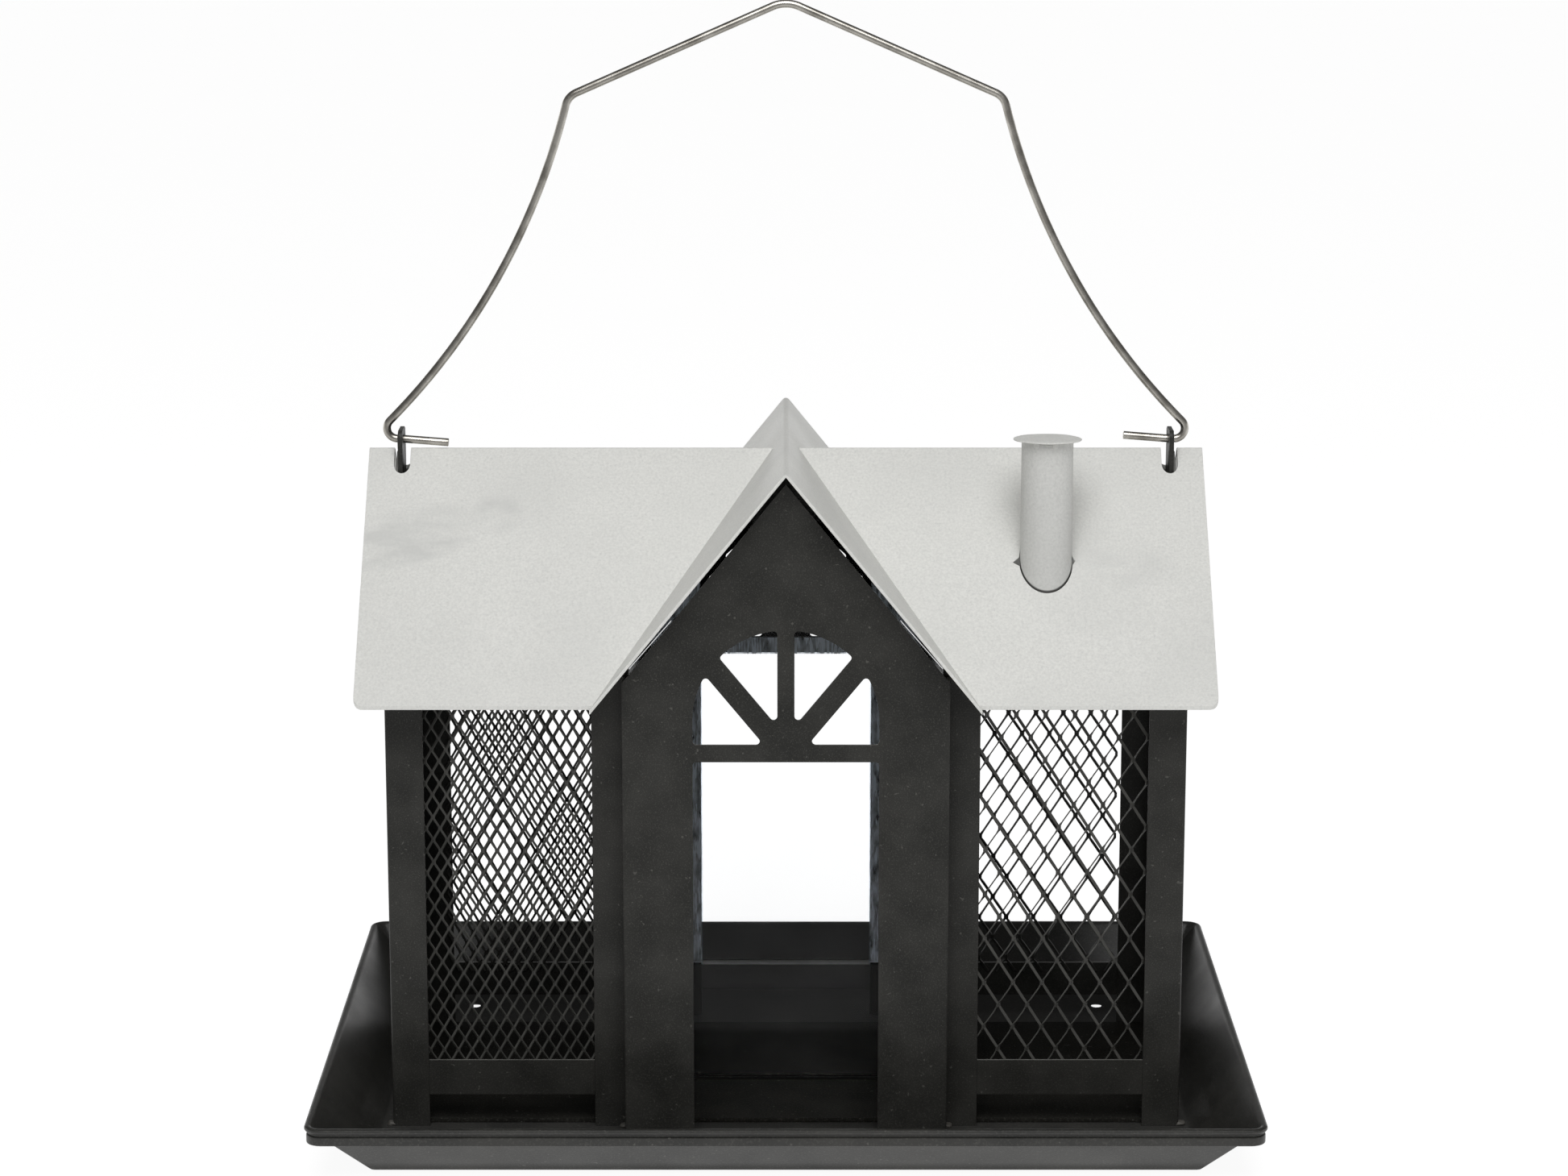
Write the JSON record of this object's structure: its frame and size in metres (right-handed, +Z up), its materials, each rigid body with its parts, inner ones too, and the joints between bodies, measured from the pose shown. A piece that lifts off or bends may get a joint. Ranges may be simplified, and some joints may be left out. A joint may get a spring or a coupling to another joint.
{
  "type": "hanging bird feeder house",
  "caption": "Hanging sheet-metal bird feeder house with mesh cages, a clear-fronted seed hopper, a pale roof with a chimney, a catch tray and a swinging wire bail.",
  "frame": {"origin": "centre of the tray's underside", "axes": "+X along the ridge to the feeder's right, +Y from the front porch to the back porch, +Z up"},
  "size_m": [0.3, 0.219, 0.3598],
  "materials": {
    "tray_metal": "satin black paint, dusty",
    "frame_metal": "satin black powder coat",
    "porch_metal": "satin black powder coat",
    "mesh_metal": "satin black paint over expanded metal",
    "roof_paint": "pale warm grey paint with a fine texture",
    "clear_plastic": "clear acrylic, lightly streaked",
    "wire": "bare drawn steel wire"
  },
  "bodies": {
    "house": {"tray": "tray_metal", "base_plate": "frame_metal", "front_left_post": "frame_metal", "front_right_post": "frame_metal", "back_left_post": "frame_metal", "back_right_post": "frame_metal", "front_left_porch_post": "frame_metal", "front_right_porch_post": "frame_metal", "back_left_porch_post": "frame_metal", "back_right_porch_post": "frame_metal", "front_left_lower_rail": "frame_metal", "front_right_lower_rail": "frame_metal", "back_left_lower_rail": "frame_metal", "back_right_lower_rail": "frame_metal", "left_end_lower_rail": "frame_metal", "right_end_lower_rail": "frame_metal", "front_left_upper_rail": "frame_metal", "front_right_upper_rail": "frame_metal", "back_left_upper_rail": "frame_metal", "back_right_upper_rail": "frame_metal", "left_end_upper_rail": "frame_metal", "right_end_upper_rail": "frame_metal", "front_left_mesh": "mesh_metal", "back_left_mesh": "mesh_metal", "left_end_mesh": "mesh_metal", "front_right_mesh": "mesh_metal", "back_right_mesh": "mesh_metal", "right_end_mesh": "mesh_metal", "left_hopper_wall": "frame_metal", "right_hopper_wall": "frame_metal", "front_porch": "porch_metal", "back_porch": "porch_metal", "front_pane": "clear_plastic", "back_pane": "clear_plastic", "front_pane_guides": "frame_metal", "back_pane_guides": "frame_metal", "left_gable_end": "frame_metal", "right_gable_end": "frame_metal", "left_hanger_lug": "frame_metal", "right_hanger_lug": "frame_metal", "left_roof": "roof_paint", "right_roof": "roof_paint", "gable_roof": "roof_paint", "chimney_tube": "roof_paint", "chimney_cap": "roof_paint", "weld_beads": "frame_metal"},
    "bail": {"bail": "wire"}
  },
  "joints": [
    {"name": "bail_swing", "type": "hinge", "parent": "house", "child": "bail", "pos_m": [0, 0, 0.218], "axis": [1, 0, 0], "range_deg": [-110, 110]}
  ]
}
